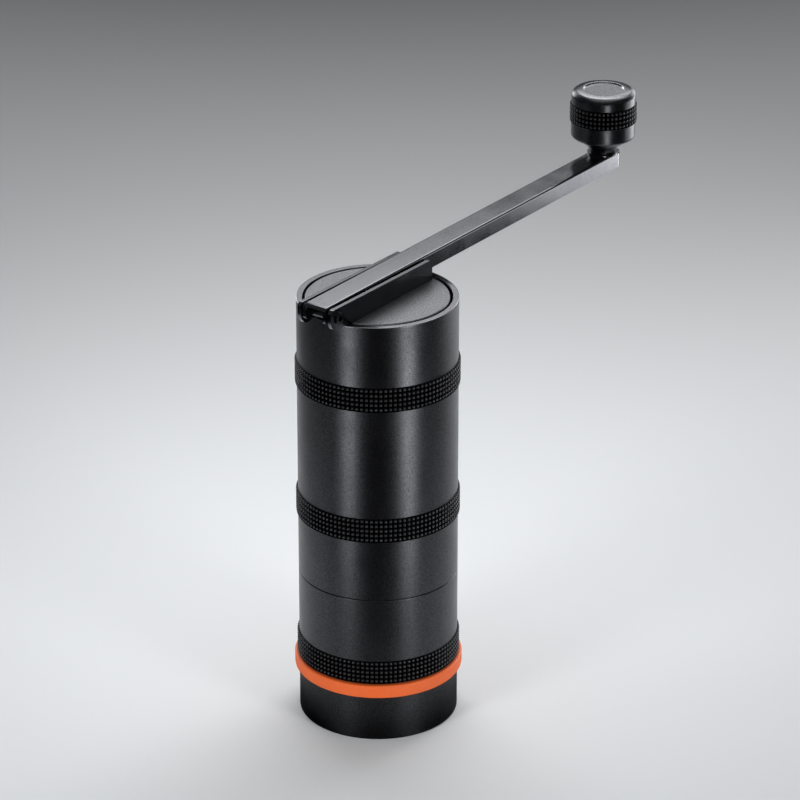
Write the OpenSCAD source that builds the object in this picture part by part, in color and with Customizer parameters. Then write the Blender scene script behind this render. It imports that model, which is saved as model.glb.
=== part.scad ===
// Hand crank coffee grinder: a round aluminium body with a grounds cup below and a folding crank on top.
// The axis of the body is Z, the base stands on Z = 0, and the crank arm points along +X.

/* [Body] */
// Diameter of the tube and of the cup
body_d = 52; // [50:0.5:56]
// Wall of the tube
tube_wall = 1.95; // [1.6:0.05:2.4]
// Length of the tube above the seam
tube_l = 95.9; // [95:0.1:110]
// Chamfer round the rim
rim_chamfer = 0.3; // [0.3:0.05:1]
// Small chamfer on the turned edges
edge_chamfer = 0.3; // [0.1:0.05:0.5]

/* [Knurled bands] */
// Height of a band
band_h = 8.5; // [6:0.1:10]
// How far a band stands out of the wall
band_out = 0.7; // [0.5:0.05:1]
// Rows of pads in a band
band_rows = 5; // [3:1:6]
// Depth of the cuts between the rows
band_cut = 0.45; // [0.2:0.05:0.5]
// Width of the cuts between the rows
band_cut_w = 0.5; // [0.3:0.05:0.7]
// From the rim down to the upper band
upper_band_drop = 20.8; // [16:0.1:30]
// From the seam up to the middle band
middle_band_rise = 20.7; // [16:0.1:30]

/* [Grounds cup] */
// Height of the cup up to the seam
cup_h = 50.9; // [46:0.1:60]
// Thickness of the cup's floor
cup_floor = 3; // [2:0.1:4]
// Wall of the cup
cup_wall = 2.6; // [2:0.1:3]
// Height of the neck that goes up into the tube
neck_h = 7; // [5:0.1:8]
// Wall of the neck
neck_wall = 1.8; // [1.5:0.1:2.2]
// Chamfer round the base
base_chamfer = 0.6; // [0.3:0.1:1]
// Height of the silicone ring
ring_h = 4.5; // [3:0.1:6]
// From the base up to the silicone ring
ring_rise = 16; // [8:0.1:16]
// How far the silicone ring stands out of the cup's wall
ring_out = 1.5; // [1:0.1:2.5]
// Depth of the groove that holds the silicone ring
ring_seat = 0.8; // [0.5:0.1:1.2]
// Gap between the silicone ring and the band above it
ring_gap = 0.1; // [0.1:0.1:4]

/* [Burrs] */
// From the wall of the tube in to the lower edge of the inner burr
burr_inset = 5.05; // [4.8:0.05:5.8]
// Wall of the carrier round the ring burr
carrier_wall = 2; // [1.6:0.1:2.4]
// Height of the ring burr
ring_burr_h = 16; // [14:0.5:18]
// Height of the inner burr
cone_h = 22; // [20:0.5:24]
// Radius of the inner burr at its top
cone_top_r = 8; // [7:0.25:9]
// Gap between the burrs at their lower edge
burr_gap = 0.5; // [0.4:0.05:0.8]
// Crushing teeth round the inner burr
cone_teeth = 7; // [6:1:8]
// Grinding teeth on each crushing tooth
fine_teeth = 6; // [4:1:6]
// Height of the ring that locks the burrs in the tube
lock_h = 1.8; // [1.5:0.1:3]
// How far the inner burr can be set lower, for a coarse grind
travel_down = 0.8; // [0.5:0.1:1]
// How far it can be set higher, for a fine grind
travel_up = 0.4; // [0.2:0.1:0.4]

/* [Shaft and bearings] */
// Diameter of the shaft
shaft_d = 6; // [5.5:0.1:6.5]
// Width across the flats that drive the inner burr
shaft_flats = 5; // [4.6:0.1:5.2]
// Width across the flats of the shaft's hexagon
hex_af = 5.2; // [4.8:0.1:5.2]
// Outside diameter of the bearings
bearing_d = 13; // [12:0.5:14]
// Width of the bearings
bearing_w = 5; // [4:0.5:5]
// Diameter of the bearing balls
ball_d = 2; // [1.8:0.1:2.2]
// Balls in each bearing
ball_n = 8; // [7:1:9]
// Top of the upper bearing below the rim
bearing_drop = 17; // [16:0.1:20]

/* [Lid and bracket] */
// Gap between the lid and the rim
lid_gap = 0.9; // [0.5:0.05:1.2]
// Thickness of the lid
lid_t = 3; // [2.5:0.1:4]
// Radius of the boss under the lid
boss_r = 8.5; // [7.5:0.25:10]
// From the wall of the tube out to the hinge pin
pin_out = 3.3; // [3.2:0.1:4]
// Height of the hinge pin in the arm
pin_rise = 1.4; // [1.3:0.1:2]
// Diameter of the hinge pin
pin_d = 2.5; // [2:0.1:3]
// From the bracket's free end out to the edge of the lid
bracket_inset = 2.4; // [2:0.1:5]
// Height of the cheeks at the free end
cheek_end_h = 7; // [5:0.1:7.6]
// Thickness of the cheeks
cheek_t = 1.3; // [1:0.1:1.8]
// Gap between the arm and each cheek, which a washer fills
cheek_gap = 0.95; // [0.8:0.05:1.5]
// Thickness of the bracket's floor
bracket_floor = 2.4; // [2:0.1:3]
// Distance between the two bracket screws
screw_pitch = 26; // [24:1:28]

/* [Arm] */
// Distance from the body's axis to the knob
arm_reach = 129.2; // [110:0.1:150]
// Width of the arm
arm_w = 8.6; // [7:0.1:9]
// Height of the arm
arm_h = 5.4; // [5:0.1:5.6]
// Sheet thickness of the channel
arm_t = 1; // [0.8:0.1:1.6]
// Radius of the arm's long upper edges
arm_fillet = 0.7; // [0.5:0.05:1.3]
// From the knob's axis to the end of the arm
arm_tail = 6.2; // [5:0.1:8]

/* [Knob] */
// Diameter of the knob above and below its band
knob_d = 21.7; // [20:0.1:24]
// Height of the knob above the arm
knob_h = 23; // [21:0.1:25]
// Diameter of the neck
neck_d = 9; // [8.4:0.1:10]
// From the arm up to the rounded foot of the grip
knob_foot_rise = 7.2; // [6.8:0.1:8.4]
// From the arm up to the knob's band
knob_band_rise = 11.7; // [10:0.1:13]
// Height of the knob's band
knob_band_h = 6.7; // [5:0.1:7]
// Rows of pads in the knob's band
knob_band_rows = 4; // [3:1:5]
// Diameter of the dished cap
cap_d = 14.5; // [12:0.1:16]
// Diameter of the knob's axle
axle_d = 4; // [3.5:0.1:4.5]

/* [Clearances] */
// Gap between pieces that are pressed or bonded together
press = 0.02; // [0.01:0.01:0.03]
// Gap of a running fit
run = 0.04; // [0.02:0.01:0.06]
// Gap between pieces that pass each other freely
free = 0.3; // [0.2:0.05:0.4]

/* [Hidden] */
fine = 96;
small = 48;
cut = 1;

// Body
body_r = body_d / 2;
bore_r = body_r - tube_wall;
seam_z = cup_h;
seam_gap = 0.15;
rim_z = seam_z + tube_l;

// Burrs
lock_z = seam_z + neck_h + free;
burr_z = lock_z + lock_h + press;
ring_burr_top = burr_z + ring_burr_h;
ring_burr_r = bore_r - carrier_wall;
cone_r = bore_r - burr_inset;
cone_top = burr_z + cone_h;
lock_lip = 0.4;
lock_r = cone_r + burr_gap + lock_lip;
throat_out = 6.5;
throat_h = 2.5;
level_h = 2;
tooth_steps = 4;
tooth_over = 0.4;
tooth_root = 0.8;

// Shaft and bearings
shaft_r = shaft_d / 2;
bearing_r = bearing_d / 2;
ball_r = ball_d / 2;
race_t = 1.15;
ball_pitch = (shaft_r + bearing_r) / 2;
upper_bearing_z = rim_z - bearing_drop - bearing_w;
hub_wall = 1.8;
hub_r = bearing_r + hub_wall;
hub_lip = 1.5;
hub_rise = 2;
hub_bevel = 1;
lower_hub_z = cone_top + hub_rise;
lower_bearing_z = lower_hub_z + hub_lip;
carrier_top = lower_bearing_z + bearing_w;
carrier_edge = 1.2;
carrier_arm_w = 4.5;
bridge_arm_w = 4;
bridge_wall = 2;
arm_drop = 1;
collar_wall = 1.8;
collar_r = shaft_r + collar_wall;
collar_h = 2;
collar_top = upper_bearing_z + bearing_w + press + collar_h;
sleeve_wall = 1;
lid_z = rim_z - lid_t;
hex_drop = 1;
hex_top = lid_z - hex_drop;
tip = 0.5;
thread_end = 3;

// Spring, dial and clicks
spring_wire = 0.7;
spring_turns = 6;
spring_in = 0.55;
spring_out = 0.5;
spring_r = shaft_r + spring_in + spring_wire / 2;
spring_pocket = 10;
pocket_r = spring_r + spring_wire / 2 + spring_out;
plate_t = 1.5;
plate_r = 9;
dial_r = 15;
dial_h = 6;
dial_top = burr_z - plate_t - run;
dial_z = dial_top - dial_h;
dial_hub_h = 2;
dial_lobes = 24;
lobe_r = 1.2;
lobe_out = 0.5;
thread_r = shaft_flats / 2;
flats_under = 0.1;
flats_over = 0.6;
flats_z = dial_top + travel_up + flats_under;
flats_top = cone_top - spring_pocket + travel_up + flats_over;
click_n = 12;
click_r = 6.5;
click_ball_r = 0.8;
click_gap = 0.1;
click_sink = 0.5;
click_notch = 0.25;
click_z = dial_top - click_sink;
click_depth = 4;
click_coil_r = 0.55;
click_wire = 0.12;

// Lid and bracket
lid_r = bore_r - lid_gap;
skirt_h = 3;
skirt_t = 1.6;
socket_wall = 3.4;
socket_r = hex_af / 2 + socket_wall;
boss_z = collar_top + run;
magnet_gap = 0.1;
magnet_r = hex_af / 2 - magnet_gap;
magnet_h = 1.5;
magnet_z = hex_top + free;
screw_r = 1.5;
screw_gap = 0.1;
screw_head_r = 2.75;
screw_head_h = 2.2;
screw_key_r = 1.15;
screw_key_h = 1.2;
screw_skin = 0.4;

// Hinge and arm, with heights above the rim
arm_lift = 0.2;
arm_bottom = bracket_floor + arm_lift;
arm_top = arm_bottom + arm_h;
pin_h = arm_bottom + pin_rise;
pin_x = -body_r - pin_out;
pin_z = rim_z + pin_h;
ear_drop = 0.1;
ear_r = pin_h + ear_drop;
tail_round = 1.3;
tail_in = 1;
tail_out = 2.7;
tail_l = pin_rise + tail_out;
sweep_r = norm([tail_l - tail_round, arm_top - pin_h - tail_round]) + tail_round;
floor_start = pin_x + sqrt(pow(sweep_r + free, 2) - pow(pin_h - bracket_floor, 2));
rim_clear = 0.45;
bracket_end = lid_r - bracket_inset;
bracket_foot = 2.5;
cheek_round = 1.5;
cheek_drop = 0.35;
cheek_root = 0.2;
washer_r = 3;
washer_t = cheek_gap - 2 * run;
cheek_in = arm_w / 2 + cheek_gap;
cheek_out = cheek_in + cheek_t;
pin_r = pin_d / 2;
pin_head_r = 1.9;
pin_head_h = 0.6;
pin_key_r = 1;
tap_r = 0.8;
tap_l = 3.5;
tap_over = 0.5;
arm_end = arm_reach + arm_tail;
arm_corner = 3;
arm_top_z = rim_z + arm_top;
solid_l = 2 * arm_tail + 3;

// Knob
axle_r = axle_d / 2;
stud_step = 0.5;
stud_r = axle_r - stud_step;
stud_short = 0.4;
washer_h = 0.6;
washer_lip = 0.7;
knob_z = arm_top_z + washer_h + 2 * run;
knob_top = arm_top_z + knob_h;
cap_h = 2;
cap_drop = 0.2;
cap_dish = 0.9;
cap_edge = 0.5;
cap_ledge = 0.8;
bush_wall = 1.2;
bush_r = axle_r + bush_wall;
bush_l = 6;
axle_head_out = 1.6;
axle_head_r = axle_r + axle_head_out;
axle_head_h = 1.5;
head_room = 4;
knob_floor = knob_top - cap_h - head_room;
knob_neck_l = 0.8;
knob_flare_r = 3.2;
knob_cone = 39;
knob_foot = 1;
knob_lip = 1.6;
knob_band_out = 0.6;

/* Shared shapes */

// A pipe from z1 to z2
module pipe(ro, ri, z1, z2) {
    difference() {
        translate([0, 0, z1]) cylinder(r = ro, h = z2 - z1, $fn = fine);
        translate([0, 0, z1 - cut]) cylinder(r = ri, h = z2 - z1 + 2 * cut, $fn = fine);
    }
}

// The outline of a knurled band on a wall of radius r: the band stands out and is cut into rows
function band_outline(r, out, z, h, rows) = let (pitch = h / rows, w = band_cut_w / 2) concat(
    [[r, z], [r + out, z + edge_chamfer]],
    [for (i = [1:rows - 1], k = [0:3])
        [r + out - [0, band_cut, band_cut, 0][k], z + i * pitch + [-w, -w / 2, w / 2, w][k]]],
    [[r + out, z + h - edge_chamfer], [r, z + h]]);

// Points of an arc about c from angle a to angle b
function arc(c, r, a, b, n = 8) = [for (i = [0:n]) let (t = a + (b - a) * i / n) c + r * [cos(t), sin(t)]];

// A turned piece from its half outline
module turned(outline) {
    rotate_extrude($fn = fine) polygon(outline);
}

// A ball bearing's outer race, balls and inner race, with its lower face at z
module outer_race(z) {
    difference() {
        pipe(bearing_r, bearing_r - race_t, z, z + bearing_w);
        translate([0, 0, z + bearing_w / 2]) ball_groove();
    }
}

module inner_race(z) {
    difference() {
        pipe(shaft_r + press + race_t, shaft_r + press, z, z + bearing_w);
        translate([0, 0, z + bearing_w / 2]) ball_groove();
    }
}

module ball_groove() {
    rotate_extrude($fn = fine) translate([ball_pitch, 0]) circle(r = ball_r + run, $fn = 32);
}

module balls(z) {
    for (i = [0:ball_n - 1])
        rotate(360 / ball_n * i) translate([ball_pitch, 0, z + bearing_w / 2]) sphere(r = ball_r, $fn = 32);
}

// A coil spring between z1 and z2, wound from a wire of radius w on radius r
module coil_spring(r, w, z1, z2, turns, per_turn = 12, sides = 6) {
    n = turns * per_turn;
    low = z1 + w;
    rise = z2 - z1 - 2 * w;
    points = [for (i = [0:n], k = [0:sides - 1])
        let (a = 360 * i / per_turn, b = 360 * k / sides, q = r + w * cos(b))
        [q * cos(a), q * sin(a), low + rise * i / n + w * sin(b)]];
    walls = [for (i = [0:n - 1], k = [0:sides - 1]) let (m = i * sides, k2 = (k + 1) % sides)
        each [[m + k, m + sides + k2, m + k2], [m + k, m + sides + k, m + sides + k2]]];
    ends = [[for (k = [0:sides - 1]) k], [for (k = [sides - 1:-1:0]) n * sides + k]];
    polyhedron(points, concat(walls, ends));
}

// The hole for the part of the shaft that has flats
module flats_hole(z, h) {
    w = shaft_flats / 2 + run;
    translate([0, 0, z]) intersection() {
        cylinder(r = shaft_r + run, h = h, $fn = fine);
        translate([-w, -shaft_d, 0]) cube([2 * w, 2 * shaft_d, h]);
    }
}

// Three arms that carry a hub in the middle of the body
module spider_arms(r, w, z1, z2) {
    for (i = [0:2]) rotate(60 + 120 * i) translate([0, -w / 2, z1]) cube([r, w, z2 - z1]);
}

/* Body */

// The outer tube, with two knurled bands turned in its wall
module body_tube() {
    z0 = seam_z + seam_gap;
    upper = rim_z - upper_band_drop - band_h;
    middle = seam_z + middle_band_rise;
    color("#1b1c1e") turned(concat(
        [[bore_r, z0], [body_r - edge_chamfer, z0], [body_r, z0 + edge_chamfer]],
        band_outline(body_r, band_out, middle, band_h, band_rows),
        band_outline(body_r, band_out, upper, band_h, band_rows),
        [[body_r, rim_z - rim_chamfer], [body_r - rim_chamfer, rim_z], [bore_r, rim_z]]));
}

// The bridge near the mouth that carries the upper bearing
module upper_bearing_bridge() {
    z1 = upper_bearing_z - hub_lip;
    z2 = upper_bearing_z + bearing_w;
    color("#8d9095") difference() {
        union() {
            pipe(bore_r - press, bore_r - bridge_wall, z1, z2);
            translate([0, 0, z1]) cylinder(r = hub_r, h = z2 - z1, $fn = fine);
            intersection() {
                spider_arms(bore_r, bridge_arm_w, z1, z2 - arm_drop);
                translate([0, 0, z1]) cylinder(r = bore_r - bridge_wall / 2, h = z2 - z1, $fn = fine);
            }
        }
        translate([0, 0, upper_bearing_z]) cylinder(r = bearing_r + press, h = bearing_w + cut, $fn = fine);
        translate([0, 0, z1 - cut]) cylinder(r = bearing_r - race_t, h = bearing_w, $fn = fine);
    }
}

module upper_bearing_outer_race() {
    color("#b9bcc0") outer_race(upper_bearing_z);
}

module upper_bearing_balls() {
    color("#d6d8da") balls(upper_bearing_z);
}

module upper_bearing_inner_race() {
    color("#b9bcc0") inner_race(upper_bearing_z);
}

// The carrier that holds the ring burr, funnels the beans to it and carries the lower bearing
module burr_carrier() {
    throat_r = cone_top_r + throat_out;
    step = ring_burr_top + press;
    color("#8d9095") difference() {
        union() {
            turned([[bore_r - press, burr_z], [bore_r - press, carrier_top],
                [bore_r - carrier_edge, carrier_top], [throat_r, step + throat_h], [throat_r, step],
                [ring_burr_r + press, step], [ring_burr_r + press, burr_z]]);
            translate([0, 0, lower_hub_z])
                cylinder(r1 = hub_r - hub_bevel, r2 = hub_r, h = hub_lip, $fn = fine);
            translate([0, 0, lower_bearing_z]) cylinder(r = hub_r, h = bearing_w, $fn = fine);
            intersection() {
                spider_arms(bore_r, carrier_arm_w, lower_hub_z, carrier_top - arm_drop);
                translate([0, 0, lower_hub_z])
                    cylinder(r = bore_r - carrier_wall / 2, h = bearing_w + hub_lip, $fn = fine);
            }
        }
        translate([0, 0, lower_bearing_z]) cylinder(r = bearing_r + press, h = bearing_w + cut, $fn = fine);
        translate([0, 0, lower_hub_z - cut]) cylinder(r = bearing_r - race_t, h = bearing_w, $fn = fine);
    }
}

module lower_bearing_outer_race() {
    color("#b9bcc0") outer_race(lower_bearing_z);
}

module lower_bearing_balls() {
    color("#d6d8da") balls(lower_bearing_z);
}

module lower_bearing_inner_race() {
    color("#b9bcc0") inner_race(lower_bearing_z);
}

/* Burrs */

// Half outline of the cone at height t from 0 at its lower edge to 1 at its top
function cone_radius(t) = let (k = 0.18) t < k
    ? cone_r - (cone_r * 0.12) * t / k
    : cone_r * 0.88 + (cone_top_r - cone_r * 0.88) * pow((t - k) / (1 - k), 0.85);

// Height of a tooth at phase p, from 0 to 1: a steep face and a long slope
function tooth(p) = let (q = p - floor(p)) q < 0.2 ? q / 0.2 : (1 - q) / 0.8;

// Depth of the teeth at angle a and height t: fine ones below that run into deep crushing ones above
function tooth_depth(a, t) = let (turn = a / 360 + 0.16 * t)
    max(0, t - 0.1) * 4.2 * (1 - tooth(turn * cone_teeth))
    + 0.9 * max(0, 1 - 2.2 * t) * (1 - tooth(turn * cone_teeth * fine_teeth));

// Radius of the ring burr's teeth at angle a and height t
function ring_radius(a, t) = let (turn = 0.1 * t - a / 360, u = t * cone_h / ring_burr_h)
    cone_radius(t) + burr_gap + 0.6 * u + 2.2 * u * tooth(turn * cone_teeth)
    + 0.8 * (1 - 0.5 * u) * tooth(turn * cone_teeth * fine_teeth);

// A closed skin over rings of points, each ring with as many points as the others
module skin(rings) {
    n = len(rings[0]);
    m = len(rings) - 1;
    walls = [for (j = [0:m - 1], i = [0:n - 1])
        let (a = j * n + i, b = j * n + (i + 1) % n) each [[a, a + n, b + n], [a, b + n, b]]];
    foot = [for (i = [0:n - 1]) [n * (m + 1), i, (i + 1) % n]];
    top = [for (i = [0:n - 1]) [n * (m + 1) + 1, m * n + (i + 1) % n, m * n + i]];
    centres = [[0, 0, rings[0][0].z], [0, 0, rings[m][0].z]];
    polyhedron([each [for (r = rings) each r], each centres], concat(walls, foot, top));
}

// The angles round a burr at which its teeth are worked out
function tooth_angles() = let (n = cone_teeth * fine_teeth * tooth_steps)
    [for (i = [0:n - 1]) 360 * i / n];

// The inner burr: a cone with crushing flutes that run down into fine teeth
module cone_burr() {
    steps = round(cone_h / level_h);
    root = pocket_r + tooth_root;
    color("#9a9ea3") difference() {
        skin([for (j = [0:steps]) let (t = j / steps) [for (a = tooth_angles())
            let (r = max(root, cone_radius(t) - tooth_depth(a, t)))
            [r * cos(a), r * sin(a), burr_z + t * cone_h]]]);
        flats_hole(burr_z - cut, cone_h + 2 * cut);
        translate([0, 0, cone_top - spring_pocket])
            cylinder(r = pocket_r, h = spring_pocket + cut, $fn = fine);
    }
}

// The outer burr: a steel ring with teeth inside, wide at the top and close to the cone at its foot
module ring_burr() {
    steps = round(ring_burr_h / level_h);
    color("#a4a8ac") difference() {
        translate([0, 0, burr_z]) cylinder(r = ring_burr_r, h = ring_burr_h, $fn = fine);
        skin([for (j = [-1:steps + 1])
            let (t = max(0, min(1, j / steps)), z = t * ring_burr_h + tooth_over * (j - t * steps))
            [for (a = tooth_angles()) let (r = ring_radius(a, t * ring_burr_h / cone_h))
                [r * cos(a), r * sin(a), burr_z + z]]]);
    }
}

// The ring that screws up into the tube and holds the carrier and the ring burr
module burr_lock_ring() {
    color("#55585c") pipe(bore_r - press, lock_r, lock_z, lock_z + lock_h);
}

/* Grounds cup */

module grounds_cup() {
    inner_r = body_r - cup_wall;
    inner_round = 3;
    neck_r = bore_r - run;
    neck_in = neck_r - neck_wall;
    groove_r = body_r - ring_seat;
    ring_top = ring_rise + ring_h;
    color("#1b1c1e") turned(concat(
        [[0, 0], [body_r - base_chamfer, 0], [body_r, base_chamfer],
            [body_r, ring_rise], [groove_r, ring_rise], [groove_r, ring_top], [body_r, ring_top]],
        band_outline(body_r, band_out, ring_top + ring_gap, band_h, band_rows),
        [[body_r, seam_z - edge_chamfer], [body_r - edge_chamfer, seam_z], [neck_r, seam_z],
            [neck_r, seam_z + neck_h - edge_chamfer], [neck_r - edge_chamfer, seam_z + neck_h],
            [neck_in, seam_z + neck_h], [neck_in, seam_z - 2], [inner_r, seam_z - 4],
            [inner_r, cup_floor + inner_round]],
        arc([inner_r - inner_round, cup_floor + inner_round], inner_round, 0, -90),
        [[0, cup_floor]]));
}

// The silicone ring: its outer face is a shallow arch
module silicone_ring() {
    z1 = ring_rise + press;
    z2 = ring_rise + ring_h - press;
    ro = body_r + ring_out;
    ri = body_r - ring_seat + press;
    c = 0.6;
    color("#e56c2e") turned(concat([[ri, z1]], arc([ro - c, z1 + c], c, -90, 0, 4),
        arc([ro - c, z2 - c], c, 0, 90, 4), [[ri, z2]]));
}

/* Shaft */

// The shaft: a hexagon above for the crank, flats for the inner burr and a threaded end for the dial
module drive_shaft() {
    end_z = dial_z - thread_end;
    color("#c3c6ca") {
        translate([0, 0, flats_top]) cylinder(r = shaft_r, h = collar_top - flats_top, $fn = fine);
        translate([0, 0, collar_top])
            cylinder(d = hex_af / cos(30), h = hex_top - tip - collar_top, $fn = 6);
        translate([0, 0, hex_top - tip]) cylinder(d1 = hex_af, d2 = hex_af - 2 * tip, h = tip, $fn = fine);
        translate([0, 0, flats_z]) intersection() {
            cylinder(r = shaft_r, h = flats_top - flats_z, $fn = fine);
            translate([-shaft_flats / 2, -shaft_d, 0])
                cube([shaft_flats, 2 * shaft_d, flats_top - flats_z]);
        }
        translate([0, 0, end_z + tip]) cylinder(r = thread_r, h = flats_z - end_z - tip, $fn = fine);
        translate([0, 0, end_z]) cylinder(r1 = thread_r - tip, r2 = thread_r, h = tip, $fn = fine);
    }
}

// The collar on the shaft that sits on the upper bearing and carries the lid
module shaft_collar() {
    color("#8d9095")
        pipe(collar_r, shaft_r + press, collar_top - collar_h, collar_top);
}

// The sleeve between the two inner races
module spacer_sleeve() {
    color("#a9acb0")
        pipe(shaft_r + sleeve_wall, shaft_r + press, carrier_top + press, upper_bearing_z - press);
}

// The spring that pushes the inner burr down on the dial
module burr_spring() {
    color("#b0b3b7") coil_spring(spring_r, spring_wire / 2, cone_top - spring_pocket + press,
        lower_bearing_z - press, spring_turns);
}

// The notched plate under the inner burr that the dial clicks against
module click_plate() {
    z1 = burr_z - plate_t;
    color("#6d7074") difference() {
        translate([0, 0, z1]) cylinder(r = plate_r, h = plate_t - press, $fn = fine);
        flats_hole(z1 - cut, plate_t + 2 * cut);
        translate([0, 0, click_z]) rotate_extrude($fn = fine)
            translate([click_r, 0]) circle(r = click_ball_r + click_gap, $fn = 32);
        for (i = [0:click_n - 1]) rotate(360 / click_n * i)
            translate([click_r, 0, click_z + click_notch]) sphere(r = click_ball_r + click_gap, $fn = 24);
    }
}

// The two balls that click in the plate
module detent_balls() {
    color("#d6d8da") for (a = [0, 180]) rotate(a)
        translate([click_r, 0, click_z]) sphere(r = click_ball_r, $fn = 24);
}

// The springs under the two balls
module detent_springs() {
    color("#b0b3b7") for (a = [0, 180]) rotate(a) translate([click_r, 0, 0])
        coil_spring(click_coil_r, click_wire, dial_top - click_depth + press,
            click_z - click_ball_r + click_wire, 5, 10, 5);
}

// The dial under the burrs that sets the grind
module grind_dial() {
    color("#2a2b2e") difference() {
        union() {
            translate([0, 0, dial_z]) cylinder(r = dial_r, h = dial_h - dial_hub_h, $fn = fine);
            translate([0, 0, dial_top - dial_hub_h]) cylinder(r = plate_r, h = dial_hub_h, $fn = fine);
        }
        translate([0, 0, dial_z - cut]) cylinder(r = thread_r + run, h = dial_h + 2 * cut, $fn = fine);
        for (i = [0:dial_lobes - 1]) rotate(360 / dial_lobes * i)
            translate([dial_r + lobe_out, 0, dial_z - cut])
                cylinder(r = lobe_r, h = dial_h - dial_hub_h + 2 * cut, $fn = 24);
        for (a = [0, 180]) rotate(a) translate([click_r, 0, dial_top - click_depth])
            cylinder(r = click_ball_r + run, h = click_depth + cut, $fn = 24);
    }
}

/* Lid and bracket */

// The lid disc with a skirt and a boss
module lid() {
    color("#232427") difference() {
        turned([[0, rim_z], [lid_r - edge_chamfer, rim_z], [lid_r, rim_z - edge_chamfer],
            [lid_r, lid_z - skirt_h], [lid_r - skirt_t, lid_z - skirt_h], [lid_r - skirt_t, lid_z],
            [boss_r, lid_z], [boss_r, boss_z], [socket_r + press, boss_z], [socket_r + press, lid_z],
            [0, lid_z]]);
        translate([0, 0, lid_z - cut])
            cylinder(r = magnet_r + press, h = magnet_z + magnet_h - lid_z + cut, $fn = fine);
        for (s = [-1, 1]) translate([s * screw_pitch / 2, 0, lid_z - cut])
            cylinder(r = screw_r + screw_gap, h = lid_t + 2 * cut, $fn = small);
    }
}

// The steel socket in the boss that fits over the shaft's hexagon
module drive_socket() {
    color("#9a9ea3") difference() {
        translate([0, 0, boss_z]) cylinder(r = socket_r, h = lid_z - boss_z - press, $fn = fine);
        translate([0, 0, boss_z - cut])
            cylinder(d = (hex_af + 2 * run) / cos(30), h = lid_z - boss_z + 2 * cut, $fn = 6);
    }
}

// The magnet that holds the lid down on the shaft
module lid_magnet() {
    color("#c8cacd") translate([0, 0, magnet_z]) cylinder(r = magnet_r, h = magnet_h - press, $fn = fine);
}

// Side outline of a cheek with its ear: X runs along the arm and Y up from the rim
function cheek_outline() = let (
        edge_x = free - sqrt(pow(lid_r, 2) - pow(cheek_out, 2)),
        foot_x = pin_x + sqrt(pow(ear_r, 2) - pow(pin_h - rim_clear, 2)))
    concat([[edge_x, 0], [bracket_end, 0]],
        arc([bracket_end - cheek_round, cheek_end_h - cheek_round], cheek_round, 0, 88),
        arc([pin_x - ear_r + cheek_round, arm_top - cheek_drop - cheek_round], cheek_round, 90, 180),
        arc([pin_x, pin_h], ear_r, 180, 270),
        [[foot_x, rim_clear], [edge_x, rim_clear]]);

module cheek() {
    difference() {
        translate([0, cheek_out, rim_z]) rotate([90, 0, 0])
            linear_extrude(cheek_t) polygon(cheek_outline());
        translate([pin_x, cheek_out + cut, pin_z]) rotate([90, 0, 0])
            cylinder(r = pin_r + press, h = cheek_t + 2 * cut, $fn = small);
    }
}

// The bracket: a floor on the lid and two cheeks whose ears reach out over the rim
module lid_bracket() {
    w = 2 * (cheek_in + cheek_root);
    foot_x = bracket_foot - lid_r;
    color("#1b1c1e") difference() {
        union() {
            translate([floor_start, -w / 2, rim_z + rim_clear])
                cube([bracket_end - cheek_root - floor_start, w, bracket_floor - rim_clear]);
            translate([foot_x, -w / 2, rim_z])
                cube([bracket_end - cheek_root - foot_x, w, bracket_floor]);
            cheek();
            mirror([0, 1, 0]) cheek();
        }
        for (s = [-1, 1]) translate([s * screw_pitch / 2, 0, rim_z - cut])
            cylinder(r = screw_r + press, h = bracket_floor + cut - screw_skin, $fn = small);
    }
}

// The two screws that hold the bracket on the lid, from below
module bracket_screws() {
    shank = lid_t + bracket_floor - screw_skin - 0.2;
    color("#6d7074") for (s = [-1, 1]) translate([s * screw_pitch / 2, 0, lid_z - press]) {
        difference() {
            translate([0, 0, -screw_head_h]) cylinder(r = screw_head_r, h = screw_head_h, $fn = small);
            translate([0, 0, -screw_head_h - cut])
                cylinder(r = screw_key_r, h = screw_key_h + cut, $fn = 6);
        }
        cylinder(r = screw_r, h = shank, $fn = small);
    }
}

/* Arm */

// The washers between the arm and the cheeks
module thrust_washers() {
    color("#8d9095") for (s = [-1, 1]) translate([pin_x, s * (arm_w + cheek_gap) / 2, pin_z])
        rotate([90, 0, 0]) difference() {
            cylinder(r = washer_r, h = washer_t, center = true, $fn = small);
            cylinder(r = pin_r + press, h = washer_t + cut, center = true, $fn = small);
        }
}

// The hinge pin: a socket head on one side and a tapped end for the screw on the other
module hinge_pin() {
    color("#8d9095") translate([pin_x, 0, pin_z]) rotate([90, 0, 0]) difference() {
        union() {
            translate([0, 0, -cheek_out]) cylinder(r = pin_r, h = 2 * cheek_out, $fn = small);
            translate([0, 0, cheek_out]) cylinder(r = pin_head_r, h = pin_head_h, $fn = small);
        }
        translate([0, 0, cheek_out - pin_head_h]) cylinder(r = pin_key_r, h = pin_head_h + cut, $fn = 6);
        translate([0, 0, -cheek_out - cut]) cylinder(r = tap_r, h = tap_l + cut, $fn = small);
    }
}

// The screw in the pin's far end
module hinge_screw() {
    shank_l = tap_l - tap_over;
    color("#8d9095") translate([pin_x, cheek_out, pin_z]) rotate([-90, 0, 0]) {
        difference() {
            cylinder(r = pin_head_r, h = pin_head_h, $fn = small);
            translate([0, 0, pin_head_h / 3]) cylinder(r = pin_key_r, h = cut, $fn = 6);
        }
        translate([0, 0, -shank_l]) cylinder(r = tap_r - press, h = shank_l, $fn = small);
    }
}

// Section of the arm with its two upper edges rounded
function arm_section() = concat([[-arm_w / 2, 0], [arm_w / 2, 0]],
    arc([arm_w / 2 - arm_fillet, arm_h - arm_fillet], arm_fillet, 0, 90),
    arc([arm_fillet - arm_w / 2, arm_h - arm_fillet], arm_fillet, 90, 180));

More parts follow.
